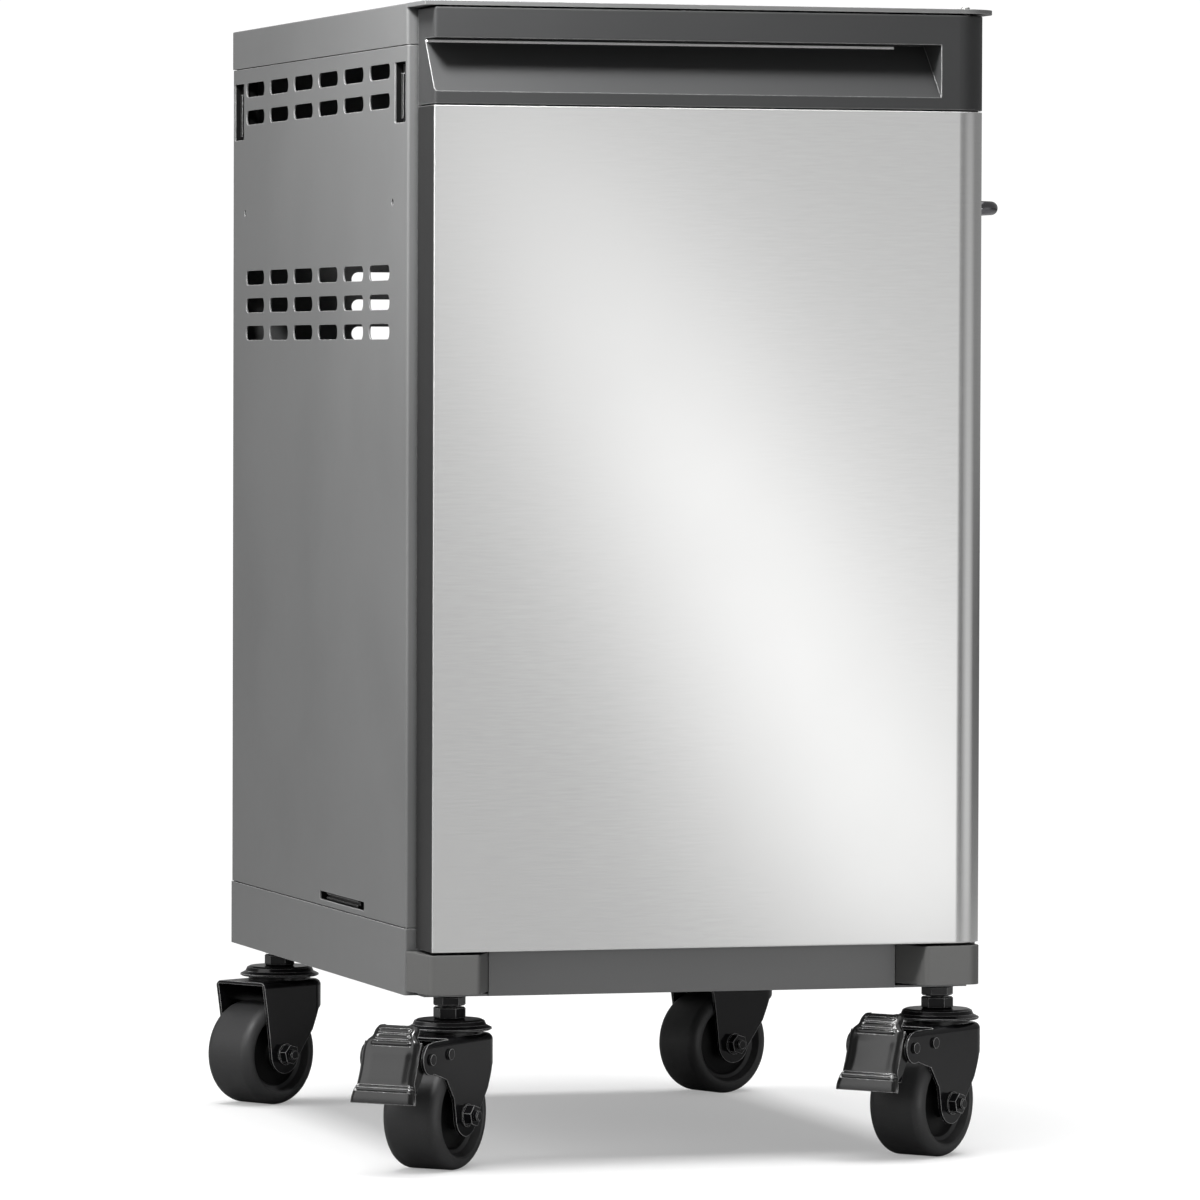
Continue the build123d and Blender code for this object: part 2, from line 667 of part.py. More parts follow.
with BuildPart() as stem_hexes:
    with BuildSketch(Plane.XY.offset(cap_crown_z)):
        with Locations(*stem_points):
            RegularPolygon(nut_across_flats / 2, 6, major_radius=False, rotation=38)
            Circle(stem_r, mode=Mode.SUBTRACT)
    extrude(amount=lock_nut_z - 1 - cap_crown_z)
    chamfer(stem_hexes.edges().filter_by(GeomType.LINE).filter_by(Axis.Z, reverse=True), length=1.2)
save(stem_hexes, "stem_hexes")

# Pressed raceway caps, fixed on the stems, that cover the balls of the swivels.
with BuildPart() as raceway_cap:
    with BuildSketch(Plane.XZ):
        with BuildLine():
            Polyline(
                (stem_r, cap_base_z + 3),
                (stem_r, cap_crown_z),
                (29, cap_crown_z),
                (32, cap_crown_z - 1.5),
                (33.5, cap_crown_z - 5),
                (38.5, cap_crown_z - 7.5),
                (38.5, cap_base_z + 0.8),
                (37, cap_base_z),
                (31, cap_base_z + 3),
                close=True,
            )
        make_face()
    revolve(axis=Axis.Z)

with BuildPart() as raceway_caps:
    with Locations(*stem_points):
        add(raceway_cap.part)
save(raceway_caps, "raceway_caps")


# The moving pieces of one caster, each made in the caster's own frame: the stem axis is Z,
# the wheel trails towards +X, and +Y is the side of the axle nut.

def fork_outline(has_pedal):
    """Side view of the fork's legs, open above the top plate."""
    over = fork_top_z + 10
    tip_r = 19
    with BuildSketch() as outline:
        with BuildLine():
            if has_pedal:
                lobe = CenterArc((pedal_pivot_r, pedal_pivot_z), 14, -110, 200)
                Polyline(lobe @ 0, (62, 85), (48, 66), (trail + tip_r, wheel_r))
                Line(lobe @ 1, (fork_front, fork_top_z + 2.5))
                Line((fork_front, fork_top_z + 2.5), (fork_front, over))
            else:
                Polyline(
                    (fork_front, over),
                    (fork_front, fork_top_z - 4),
                    (50, 88),
                    (46, 58),
                    (trail + tip_r, wheel_r),
                )
            CenterArc((trail, wheel_r), tip_r, 0, -170)
            Polyline(
                (trail - tip_r * cos(radians(10)), wheel_r - tip_r * sin(radians(10))),
                (-13, 72),
                (-22, 92),
                (-fork_back - 2, 100),
                (-fork_back - 2, over),
                (fork_front, over),
            )
        make_face()
    return outline.sketch


def make_fork(has_pedal):
    """Pressed fork: a top plate with two legs and a rounded back."""
    with BuildPart() as fork:
        with BuildSketch(Plane.XY.offset(wheel_r - 20)) as plan:
            with Locations(((fork_front + 50 - fork_back) / 2, 0)):
                Rectangle(fork_front + 50 + fork_back, 2 * fork_half)
            fillet(plan.vertices().group_by(Axis.X)[0], radius=18)
        extrude(amount=fork_top_z - wheel_r + 20)
        top_edges = fork.faces().sort_by(Axis.Z)[-1].edges()
        fillet(top_edges.sort_by(Axis.X)[:-1], radius=6)
        with BuildSketch(Plane.XY.offset(wheel_r - 20)) as plan:
            with Locations(((fork_front + 60 - fork_back) / 2, 0)):
                Rectangle(fork_front + 60 + fork_back - 2 * fork_sheet, 2 * (fork_half - fork_sheet))
            fillet(plan.vertices().group_by(Axis.X)[0], radius=15)
        extrude(amount=fork_top_z - wheel_r + 20 - fork_sheet, mode=Mode.SUBTRACT)
        with BuildSketch(Plane.XZ):
            add(fork_outline(has_pedal))
        extrude(amount=fork_half + 5, both=True, mode=Mode.INTERSECT)
        if has_pedal:
            block(fork_front, 200, -fork_half + fork_sheet, fork_half - fork_sheet,
                  60, 140, mode=Mode.SUBTRACT)
        # round collar under the raceway cap
        with BuildSketch(Plane.XY.offset(fork_top_z)):
            Circle(30.5)
        extrude(amount=cap_base_z - 0.3 - fork_top_z)
        Cylinder(stem_r + pin_play, 400, mode=Mode.SUBTRACT)
        with BuildSketch(Plane.XZ):
            with Locations((trail, wheel_r)):
                Circle(axle_r)
            if has_pedal:
                with Locations((pedal_pivot_r, pedal_pivot_z), (stop_pin_r, stop_pin_z)):
                    Circle(3)
        extrude(amount=fork_half + 5, both=True, mode=Mode.SUBTRACT)
    return fork.part


def make_wheel():
    """Tyre and hub, turned about the axle."""
    hub_half = 29.5
    rim_half = 19.0
    rim_r = 32.0
    with BuildPart() as tyre:
        with BuildSketch(Plane.XY) as half:
            with BuildLine():
                Polyline(
                    (rim_r, -rim_half),
                    (35, -21),
                    (38, -wheel_half + 1),
                    (39.5, -wheel_half),
                    (wheel_r, -wheel_half),
                    (wheel_r, wheel_half),
                    (39.5, wheel_half),
                    (38, wheel_half - 1),
                    (35, 21),
                    (rim_r, rim_half),
                    close=True,
                )
            make_face()
            fillet(half.vertices().group_by(Axis.X)[-1], radius=wheel_shoulder)
        revolve(axis=Axis.Y)
    with BuildPart() as hub:
        with BuildSketch(Plane.XY):
            with BuildLine():
                Polyline(
                    (axle_r + pin_play, -hub_half),
                    (13, -hub_half),
                    (14, -20),
                    (30, -17),
                    (rim_r, -rim_half),
                    (rim_r, rim_half),
                    (30, 17),
                    (14, 20),
                    (13, hub_half),
                    (axle_r + pin_play, hub_half),
                    close=True,
                )
            make_face()
        revolve(axis=Axis.Y)
    return tyre.part, hub.part


def make_axle():
    """Hex bolt through the fork and the wheel, and its nut, at the origin along Y."""
    hex_r = 8.5
    washer = 1.6
    with BuildPart() as axle:
        with BuildSketch(front_sketch_plane(-fork_half)):
            Circle(axle_r)
        extrude(amount=-(fork_half + 46.5))
        chamfer(axle.edges().group_by(Axis.Y)[-1], length=1)
        with BuildSketch(front_sketch_plane(-fork_half)):
            RegularPolygon(hex_r, 6, major_radius=False)
        extrude(amount=6.4)
    with BuildPart() as nut:
        with BuildSketch(front_sketch_plane(fork_half)):
            Circle(10.5)
            Circle(axle_r, mode=Mode.SUBTRACT)
        extrude(amount=-washer)
        with BuildSketch(front_sketch_plane(fork_half + washer)):
            RegularPolygon(hex_r, 6, major_radius=False, rotation=15)
            Circle(axle_r, mode=Mode.SUBTRACT)
        extrude(amount=-8)
    return axle.part, nut.part


def make_pedal():
    """Brake pedal: a pressed plate with ribs, side flanges and two arms on the pivot pin."""
    profile = [(93, 133), (103, 120.5), (108, 104), (116, 82), (119, 77.5), (121, 66)]
    lobe_r = 9.0
    with BuildPart() as pedal:
        # plate seen from the side, thickened backwards
        with BuildSketch(Plane.XZ):
            with BuildLine():
                Polyline(*profile, *[(r - 2.5, z - 0.6) for r, z in reversed(profile)], close=True)
            make_face()
        extrude(amount=32, both=True)
        # outline seen from the front: narrow at the top, wide at the lip
        with BuildSketch(Plane.YZ.offset(80)):
            with BuildLine():
                Polyline(
                    (-32, 60), (32, 60), (32, 72), (29, 79), (27.5, 92), (28, 112), (27, 120),
                    (22.5, 123), (21, 135), (-21, 135), (-22.5, 123), (-27, 120), (-28, 112),
                    (-27.5, 92), (-29, 79), (-32, 72), close=True)
            make_face()
        extrude(amount=60, mode=Mode.INTERSECT)
        # three ribs on the upper part and a raised pad below them
        for rib_z in (119.5, 124.5, 129.5):
            rib_r = 93 + (133 - rib_z) * 0.8
            with Locations(Location((rib_r + 0.4, 0, rib_z), (90, 0, 0))):
                Cylinder(0.9, 32)
        # side flanges with a lobe round the pivot pin
        with BuildSketch(Plane.XZ.offset(-29.6)) as flange_sketch:
            with BuildLine():
                Polyline(
                    (101, 120), (99, 104), (103, 84), (112, 78), (116.5, 81), (108.5, 104), (103.5, 120),
                    close=True,
                )
            make_face()
            with Locations((pedal_pivot_r, pedal_pivot_z)):
                Circle(lobe_r)
            with BuildLine():
                Polyline(
                    (pedal_pivot_r, pedal_pivot_z + lobe_r),
                    (104, 116),
                    (106, 96),
                    (pedal_pivot_r, pedal_pivot_z - lobe_r),
                    close=True,
                )
            make_face()
        extrude(amount=2.4)
        mirror(about=Plane.XZ)
        with BuildSketch(Plane.XZ):
            with Locations((pedal_pivot_r, pedal_pivot_z)):
                Circle(3 + pin_play)
        extrude(amount=40, both=True, mode=Mode.SUBTRACT)
    return pedal.part


def make_brake_shoe():
    """Curved shoe and its block, which the pedal's arms carry against the tyre."""
    with BuildPart() as shoe:
        with BuildSketch(Plane.XZ):
            with Locations((pedal_pivot_r, pedal_pivot_z)):
                Circle(7)
            with BuildLine():
                Polyline(
                    (pedal_pivot_r - 6, pedal_pivot_z),
                    (pedal_pivot_r + 4, pedal_pivot_z - 4),
                    (86, 72),
                    (80, 72),
                    (76, 86),
                    close=True,
                )
            make_face()
            with Locations((pedal_pivot_r, pedal_pivot_z)):
                Circle(3 + pin_play, mode=Mode.SUBTRACT)
        extrude(amount=12, both=True)
    return shoe.part


def make_rivets():
    """Pivot and stop pins of the pedal, with round heads outside the fork's ears."""
    with BuildPart() as rivets:
        with BuildSketch(Plane.XZ):
            with Locations((pedal_pivot_r, pedal_pivot_z), (stop_pin_r, stop_pin_z)):
                Circle(3)
        extrude(amount=fork_half, both=True)
        for side in (-1, 1):
            with BuildSketch(front_sketch_plane(side * fork_half)):
                with Locations((pedal_pivot_r, pedal_pivot_z), (stop_pin_r, stop_pin_z)):
                    Circle(5)
            extrude(amount=-side * 2.2)
    return rivets.part


for corner, (stem_x, stem_y) in stem_positions.items():
    place = Location((stem_x, stem_y, 0), (0, 0, swivel_angles[corner]))
    wheel_place = place * Location((trail, 0, wheel_r))
    has_pedal = corner.startswith("front")
    tyre_shape, hub_shape = make_wheel()
    axle_shape, nut_shape = make_axle()
    with BuildPart() as fork:
        with Locations(place):
            add(make_fork(has_pedal))
    save(fork, f"{corner}_fork")
    with BuildPart() as tyre:
        with Locations(wheel_place):
            add(tyre_shape)
    save(tyre, f"{corner}_tyre")
    with BuildPart() as hub:
        with Locations(wheel_place):
            add(hub_shape)
    save(hub, f"{corner}_hub")
    with BuildPart() as axle:
        with Locations(wheel_place):
            add(axle_shape)
    save(axle, f"{corner}_axle_bolt")
    with BuildPart() as axle_nut:
        with Locations(wheel_place):
            add(nut_shape)
    save(axle_nut, f"{corner}_axle_nut")
    if has_pedal:
        brake_pieces = {"pedal": make_pedal(), "brake_shoe": make_brake_shoe(), "rivets": make_rivets()}
        for piece_name, shape in brake_pieces.items():
            with BuildPart() as piece:
                with Locations(place):
                    add(shape)
            save(piece, f"{corner}_{piece_name}")
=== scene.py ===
import bmesh
import bpy
import json
import math
from mathutils import Matrix, Vector


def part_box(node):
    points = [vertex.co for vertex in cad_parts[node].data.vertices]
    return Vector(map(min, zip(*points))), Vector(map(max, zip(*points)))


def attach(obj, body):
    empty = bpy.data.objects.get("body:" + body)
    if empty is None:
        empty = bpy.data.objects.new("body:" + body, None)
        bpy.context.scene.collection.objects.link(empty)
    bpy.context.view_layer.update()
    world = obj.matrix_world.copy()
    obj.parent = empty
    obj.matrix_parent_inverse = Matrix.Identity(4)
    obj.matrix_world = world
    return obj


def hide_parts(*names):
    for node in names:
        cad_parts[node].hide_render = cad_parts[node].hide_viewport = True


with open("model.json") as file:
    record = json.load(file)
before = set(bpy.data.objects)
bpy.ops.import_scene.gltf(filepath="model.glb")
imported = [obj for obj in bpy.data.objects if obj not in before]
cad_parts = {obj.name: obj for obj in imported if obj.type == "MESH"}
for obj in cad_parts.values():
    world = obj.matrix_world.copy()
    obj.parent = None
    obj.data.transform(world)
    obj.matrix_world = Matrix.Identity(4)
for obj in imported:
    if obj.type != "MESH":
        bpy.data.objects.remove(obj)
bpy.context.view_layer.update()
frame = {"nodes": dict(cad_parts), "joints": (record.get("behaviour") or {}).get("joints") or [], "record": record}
nodes = frame["nodes"]
joints = {joint["name"]: joint for joint in frame["joints"]}
mm = 0.001


# ---------------------------------------------------------------- camera, lights, floor

camera_place = Vector((-2.054, -6.960, 0.729))
camera_heading = math.radians(16.472)     # turned from +Y towards +X
camera_pitch = math.radians(1.782)        # below the horizon
camera_roll = math.radians(0.194)
camera_lens = 229.92

door_low, door_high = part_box("door_skin")
floor_white = 0.92
floor_bounce = 0.4       # how much light the floor sends back to the object
floor_lift = 0.3         # share of the floor's brightness that no shadow takes away
floor_size = 60
floor_fade_start = 0.9   # distance from the middle where the floor starts to turn into backdrop
floor_fade_end = 2.0
plain_white = (1, 1, 1, 1)
backdrop_strength = 1.05
room_strength = 0.3      # the even studio that the object reflects beside the panels

# Panel in front of the door, which only the reflections show.
reflector_distance = 2.4
reflector_left = 1.1     # reach of the panel to each side of the door's reflected middle
reflector_right = 0.75
reflector_height = 2.6
band_slope = 0.53        # sideways shift of the band for each metre of height
band_place = -0.015
band_left = 0.10         # softness of the band's left and right sides
band_right = 0.13
band_gain = 0.88
band_top = 0.68          # height on the panel where the band starts, and where it is full
band_full = 0.1
panel_left = 0.6         # grey to the left of the band, and to its right at the top and low down
panel_right_top = 0.66
panel_right_low = 0.85

# Panel at the right, which only the reflections show.
right_panel_place = (2.6, -1.6, 0.9)
right_panel_facing = (-2.6, 1.6, 0)
right_panel_width = 2.4
right_panel_height = 2.0
right_panel_top = 0.3    # brightness at its top and low down
right_panel_low = 0.75
right_panel_fade = (0.3, 1.2)    # distances from its middle between which it turns into the room

# Softboxes: place, target, size and power.
softboxes = {
    "key": ((-3.4, -0.4, 1.9), (0, 0, 0.6), (2.6, 2.6), 63),
    "near_left": ((-0.85, -0.85, 1.7), (-0.15, -0.3, 0.95), (0.35, 0.35), 44),
    "front_fill": ((0.9, -2.4, 0.3), (0.1, -0.3, 0.2), (1.6, 0.5), 14),
    "grip_light": ((-0.55, -0.62, 1.65), (-0.2, -0.3, 1.0), (0.25, 0.25), 28),
    "overhead": ((0.0, -0.2, 3.4), (0, 0, 0), (3.6, 3.6), 70),
    "sweep_light": ((0.0, -0.2, 3.5), (0, 0, 0), (3.6, 3.6), 145),
}
# A softbox that shines on these alone, for INCLUDE, or on all but these, for EXCLUDE.
light_links = {
    "near_left": ("EXCLUDE", "studio_floor", "handle_moulding"),
    "front_fill": ("EXCLUDE", "studio_floor", "door_skin", "handle_moulding"),
    "grip_light": ("INCLUDE", "handle_moulding", "grip_strip"),
    "sweep_light": ("INCLUDE", "studio_floor"),
}


def add_camera():
    """The camera at the photograph's angle."""
    camera = bpy.data.objects.new("camera", bpy.data.cameras.new("camera"))
    bpy.context.scene.collection.objects.link(camera)
    camera.data.lens = camera_lens
    camera.data.clip_end = 60
    camera.matrix_world = (
        Matrix.Translation(camera_place)
        @ Matrix.Rotation(-camera_heading, 4, "Z")
        @ Matrix.Rotation(math.pi / 2 - camera_pitch, 4, "X")
        @ Matrix.Rotation(camera_roll, 4, "Z")
    )
    bpy.context.scene.camera = camera


def area_light(name, place, target, size, power):
    """A softbox at place that points at target."""
    light = bpy.data.lights.new(name, "AREA")
    light.shape = "RECTANGLE"
    light.size, light.size_y = size
    light.energy = power
    holder = bpy.data.objects.new(name, light)
    bpy.context.scene.collection.objects.link(holder)
    holder.location = place
    holder.rotation_euler = (Vector(target) - Vector(place)).to_track_quat("-Z", "Y").to_euler()
    return holder


def link_light(light, state, *names):
    """The light shines on the named objects alone, for INCLUDE, or on all but them, for EXCLUDE."""
    receivers = bpy.data.collections.new(f"{light.name}_receivers")
    for name in names:
        receivers.objects.link(bpy.data.objects[name])
    for member in receivers.collection_objects:
        member.light_linking.link_state = state
    light.light_linking.receiver_collection = receivers


def add_node(tree, kind, inputs=None, **settings):
    """A shader node with its settings, and its inputs set or linked."""
    made = tree.nodes.new(kind)
    for key, value in settings.items():
        setattr(made, key, value)
    for key, value in (inputs or {}).items():
        if isinstance(value, bpy.types.NodeSocket):
            tree.links.new(value, made.inputs[key])
        else:
            made.inputs[key].default_value = value
    return made


def math_node(tree, operation, first, second=0.0, third=0.0):
    """One step of arithmetic between sockets or numbers."""
    inputs = {0: first, 1: second, 2: third}
    return add_node(tree, "ShaderNodeMath", inputs, operation=operation).outputs[0]


def empty_material(name):
    """A material with nothing in it but its output."""
    material = bpy.data.materials.new(name)
    material.use_nodes = True
    tree = material.node_tree
    tree.nodes.clear()
    output = add_node(tree, "ShaderNodeOutputMaterial")
    return material, tree, output


def stage_plane(name, place, facing, width, height, material):
    """A flat stage panel whose local X is its width and local Y its height."""
    mesh = bpy.data.meshes.new(name)
    w, h = width / 2, height / 2
    mesh.from_pydata([(-w, -h, 0), (w, -h, 0), (w, h, 0), (-w, h, 0)], [], [(0, 1, 2, 3)])
    mesh.materials.append(material)
    panel = bpy.data.objects.new(name, mesh)
    bpy.context.scene.collection.objects.link(panel)
    panel.location = place
    panel.rotation_euler = Vector(facing).to_track_quat("Z", "Y").to_euler()
    return panel


def add_world():
    """White behind the object, and a dim even studio for everything the object reflects."""
    world = bpy.data.worlds.new("studio")
    bpy.context.scene.world = world
    world.use_nodes = True
    tree = world.node_tree
    tree.nodes.clear()
    path = add_node(tree, "ShaderNodeLightPath")
    room = add_node(tree, "ShaderNodeBackground", {"Color": plain_white, "Strength": room_strength})
    white = add_node(tree, "ShaderNodeBackground", {"Color": plain_white, "Strength": backdrop_strength})
    mix = add_node(tree, "ShaderNodeMixShader",
                   {0: path.outputs["Is Camera Ray"], 1: room.outputs[0], 2: white.outputs[0]})
    add_node(tree, "ShaderNodeOutputWorld", {"Surface": mix.outputs[0]})


def add_floor():
    """Pale matt floor that turns into the white backdrop away from the object."""
    material, tree, output = empty_material("studio_floor")
    place = add_node(tree, "ShaderNodeTexCoord").outputs["Object"]
    far = add_node(tree, "ShaderNodeVectorMath", {0: place}, operation="LENGTH").outputs["Value"]
    reach = {"Value": far, "From Min": floor_fade_start, "From Max": floor_fade_end}
    fade = add_node(tree, "ShaderNodeMapRange", reach, interpolation_type="SMOOTHSTEP").outputs[0]
    matt = add_node(tree, "ShaderNodeBsdfDiffuse", {"Color": (*[floor_white] * 3, 1)})
    dim = add_node(tree, "ShaderNodeBsdfDiffuse", {"Color": (*[floor_bounce] * 3, 1)})
    glow = add_node(tree, "ShaderNodeEmission", {"Color": plain_white, "Strength": backdrop_strength})
    share = {"Value": fade, "To Min": floor_lift, "To Max": 1.0}
    lifted = add_node(tree, "ShaderNodeMapRange", share).outputs[0]
    seen = add_node(tree, "ShaderNodeMixShader", {0: lifted, 1: matt.outputs[0], 2: glow.outputs[0]})
    path = add_node(tree, "ShaderNodeLightPath")
    mix = add_node(tree, "ShaderNodeMixShader",
                   {0: path.outputs["Is Camera Ray"], 1: dim.outputs[0], 2: seen.outputs[0]})
    tree.links.new(mix.outputs[0], output.inputs["Surface"])
    stage_plane("studio_floor", (0, 0, 0), (0, 0, 1), floor_size, floor_size, material)


def add_reflector():
    """Panel that the door's steel reflects: grey, with one soft diagonal band of light."""
    material, tree, output = empty_material("reflector")
    place = add_node(tree, "ShaderNodeTexCoord").outputs["Object"]
    split = add_node(tree, "ShaderNodeSeparateXYZ", {0: place})
    across = math_node(tree, "MULTIPLY", split.outputs["X"], -1.0)
    up = split.outputs["Y"]
    leaning = math_node(tree, "MULTIPLY_ADD", up, band_slope, -band_place)
    off_band = math_node(tree, "ADD", across, leaning)
    right_side = math_node(tree, "GREATER_THAN", off_band, 0)
    width = math_node(tree, "MULTIPLY_ADD", right_side, band_right - band_left, band_left)
    ratio = math_node(tree, "DIVIDE", off_band, width)
    falling = math_node(tree, "MULTIPLY", math_node(tree, "MULTIPLY", ratio, ratio), -0.5)
    band = math_node(tree, "EXPONENT", falling)
    gain = between(tree, up, 0.0, band_gain, band_top, band_full)
    right_light = between(tree, up, panel_right_top, panel_right_low, 0.5, -0.3)
    lift = math_node(tree, "SUBTRACT", right_light, panel_left)
    grey = math_node(tree, "MULTIPLY_ADD", right_side, lift, panel_left)
    strength = math_node(tree, "MULTIPLY_ADD", band, gain, grey)
    glow = add_node(tree, "ShaderNodeEmission", {"Color": plain_white, "Strength": strength})
    tree.links.new(glow.outputs[0], output.inputs["Surface"])
    away = Vector((math.sin(camera_heading), -math.cos(camera_heading), 0))
    door_middle = (door_low + door_high) / 2
    door_middle.y = door_low.y
    panel = stage_plane("reflector", door_middle + away * reflector_distance, -away,
                        reflector_left + reflector_right, reflector_height, material)
    panel.data.transform(Matrix.Translation(((reflector_left - reflector_right) / 2, 0, 0)))
    panel.visible_camera = False    # it would hide the object in a view from the front


def add_right_panel():
    """Dim panel at the right, brighter low down, for the rounded corner and the dark front parts."""
    material, tree, output = empty_material("right_panel")
    place = add_node(tree, "ShaderNodeTexCoord").outputs["Object"]
    split = add_node(tree, "ShaderNodeSeparateXYZ", {0: place})
    bright = between(tree, split.outputs["Y"], right_panel_low, right_panel_top, -0.7, 0.7)
    off_middle = math_node(tree, "ABSOLUTE", split.outputs["X"])
    strength = between(tree, off_middle, bright, room_strength, *right_panel_fade)
    glow = add_node(tree, "ShaderNodeEmission", {"Color": plain_white, "Strength": strength})
    tree.links.new(glow.outputs[0], output.inputs["Surface"])
    panel = stage_plane("right_panel", right_panel_place, right_panel_facing,
                        right_panel_width, right_panel_height, material)
    panel.visible_camera = False    # it would hide the object in a view from the right


def add_studio():
    """Everything that isn't the object."""
    add_camera()
    add_world()
    add_floor()
    add_reflector()
    add_right_panel()
    holders = {name: area_light(name, *settings) for name, settings in softboxes.items()}
    for name, link in light_links.items():
        link_light(holders[name], *link)
    bpy.context.scene.view_settings.view_transform = "Standard"


# ---------------------------------------------------------------- finishes

# Painted shade: deep in gaps, seams and holes within crevice_reach, the paint is turned towards this near-black.
crevice_reach = 0.009
crevice_painted_shade = (0.003, 0.003, 0.003)
plastic_edge = 0.0006
brush_depth = 0.0000012


def finish_base(name, metallic=0.0, specular=0.5):
    """A Principled material and the object coordinates that its patterns use."""
    material, tree, output = empty_material(name)
    shader = add_node(tree, "ShaderNodeBsdfPrincipled",
                      {"Metallic": metallic, "Specular IOR Level": specular})
    tree.links.new(shader.outputs[0], output.inputs["Surface"])
    place = add_node(tree, "ShaderNodeTexCoord").outputs["Object"]
    return material, tree, shader, place


def noise(tree, place, scale, detail=2.0, stretch=None):
    """Noise value from 0 to 1; stretch scales the three axes first."""
    if stretch:
        place = add_node(tree, "ShaderNodeMapping", {"Vector": place, "Scale": stretch}).outputs[0]
    inputs = {"Vector": place, "Scale": scale, "Detail": detail}
    return add_node(tree, "ShaderNodeTexNoise", inputs).outputs[0]


def between(tree, value, low, high, low_in=0.3, high_in=0.7):
    """Value mapped from low_in…high_in to low…high."""
    inputs = {"Value": value, "From Min": low_in, "From Max": high_in, "To Min": low, "To Max": high}
    return add_node(tree, "ShaderNodeMapRange", inputs).outputs[0]


def mix_colour(tree, factor, first, second):
    """Colour between two colours."""
    mixed = add_node(tree, "ShaderNodeMix", data_type="RGBA")
    for index, value in ((0, factor), (6, first), (7, second)):
        if isinstance(value, bpy.types.NodeSocket):
            tree.links.new(value, mixed.inputs[index])
        elif index == 0:
            mixed.inputs[0].default_value = value
        else:
            mixed.inputs[index].default_value = (*value, 1) if len(value) == 3 else value
    return mixed.outputs[2]


def edge_mask(tree, radius):
    """1 on the object's edges and corners, 0 on its flats, and the rounded normal."""
    rounded = add_node(tree, "ShaderNodeBevel", {"Radius": radius}, samples=6).outputs[0]
    flat = add_node(tree, "ShaderNodeNewGeometry").outputs["Normal"]
    same = add_node(tree, "ShaderNodeVectorMath", {0: rounded, 1: flat},
                    operation="DOT_PRODUCT").outputs["Value"]
    return between(tree, same, 1.0, 0.0, 0.86, 0.99), rounded


def crevice_shade_mask(tree, reach):
    """Mask of the painted shade: 0 deep in gaps and holes narrower than reach, 1 in the open."""
    shade = add_node(tree, "ShaderNodeAmbientOcclusion", {"Distance": reach}, samples=4).outputs["AO"]
    return between(tree, shade, 0.0, 1.0, 0.3, 0.75)


def bump(tree, height, distance, normal=None, strength=1.0):
    """Bump of a height from 0 to 1, distance metres deep."""
    inputs = {"Height": height, "Distance": distance, "Strength": strength}
    if normal:
        inputs["Normal"] = normal
    return add_node(tree, "ShaderNodeBump", inputs).outputs[0]


def paint(name, colour, roughness, highlight_grey, peel=0.00002, edge=0.0008, specular=0.3, crest_highlight=None):
    """Sprayed paint with orange peel, faint clouds and tiny specks, edges lightened to the given grey as a painted
    highlight, sharp crests given the same painted highlight when asked, and painted shade deep in crevices.
    """
    material, tree, shader, place = finish_base(name, specular=specular)
    clouds = noise(tree, place, 7.0, 4.0)
    specks = noise(tree, place, 1600.0, 1.0)
    peel_height = noise(tree, place, 520.0, 2.0)
    edge_highlight, rounded = edge_mask(tree, edge)
    unshaded_here = crevice_shade_mask(tree, crevice_reach)
    # Painted highlight along the edges, broken up by noise and kept out of crevices.
    broken_highlight = math_node(tree, "MULTIPLY", edge_highlight, between(tree, noise(tree, place, 90.0, 3.0), 0.6, 1.0))
    highlight_here = math_node(tree, "MULTIPLY", broken_highlight, unshaded_here)
    # Painted highlight on sharp crests as well.
    if crest_highlight:
        bent = add_node(tree, "ShaderNodeNewGeometry").outputs["Pointiness"]
        highlight_here = math_node(tree, "MAXIMUM", highlight_here, between(tree, bent, 0.0, 1.0, *crest_highlight))
    darker = tuple(channel * 0.92 for channel in colour)
    lighter = tuple(channel * 1.06 for channel in colour)
    highlight_colour = (highlight_grey, highlight_grey, highlight_grey)
    plain = mix_colour(tree, between(tree, specks, 0.0, 1.0), darker, colour)
    cloudy = mix_colour(tree, between(tree, clouds, 0.0, 0.8), plain, lighter)
    # Edges and crests painted lighter as a highlight.
    highlighted = mix_colour(tree, highlight_here, cloudy, highlight_colour)
    # Painted shade: the paint turns near-black deep in gaps, seams and holes.
    shaded = mix_colour(tree, unshaded_here, crevice_painted_shade, highlighted)
    tree.links.new(shaded, shader.inputs["Base Color"])
    gloss = between(tree, clouds, roughness - 0.04, roughness + 0.05)
    tree.links.new(gloss, shader.inputs["Roughness"])
    tree.links.new(bump(tree, peel_height, peel, rounded), shader.inputs["Normal"])
    return material


def moulded_plastic(name, colour, roughness, grain=0.00002, specular=0.5):
    """Moulded plastic with a fine spark-eroded grain and a faint painted highlight on its edges."""
    material, tree, shader, place = finish_base(name, specular=specular)
    grain_height = noise(tree, place, 2600.0, 2.0)
    clouds = noise(tree, place, 9.0, 3.0)
    edge_highlight, rounded = edge_mask(tree, plastic_edge)
    darker = tuple(channel * 0.92 for channel in colour)
    lighter = tuple(channel * 1.3 for channel in colour)
    cloudy = mix_colour(tree, between(tree, clouds, 0.0, 1.0), darker, colour)
    # Painted highlight: edges half-way to a lighter tone.
    highlighted = mix_colour(tree, math_node(tree, "MULTIPLY", edge_highlight, 0.5), cloudy, lighter)
    tree.links.new(highlighted, shader.inputs["Base Color"])
    gloss = between(tree, grain_height, roughness - 0.05, roughness + 0.06)
    tree.links.new(gloss, shader.inputs["Roughness"])
    tree.links.new(bump(tree, grain_height, grain, rounded), shader.inputs["Normal"])
    return material


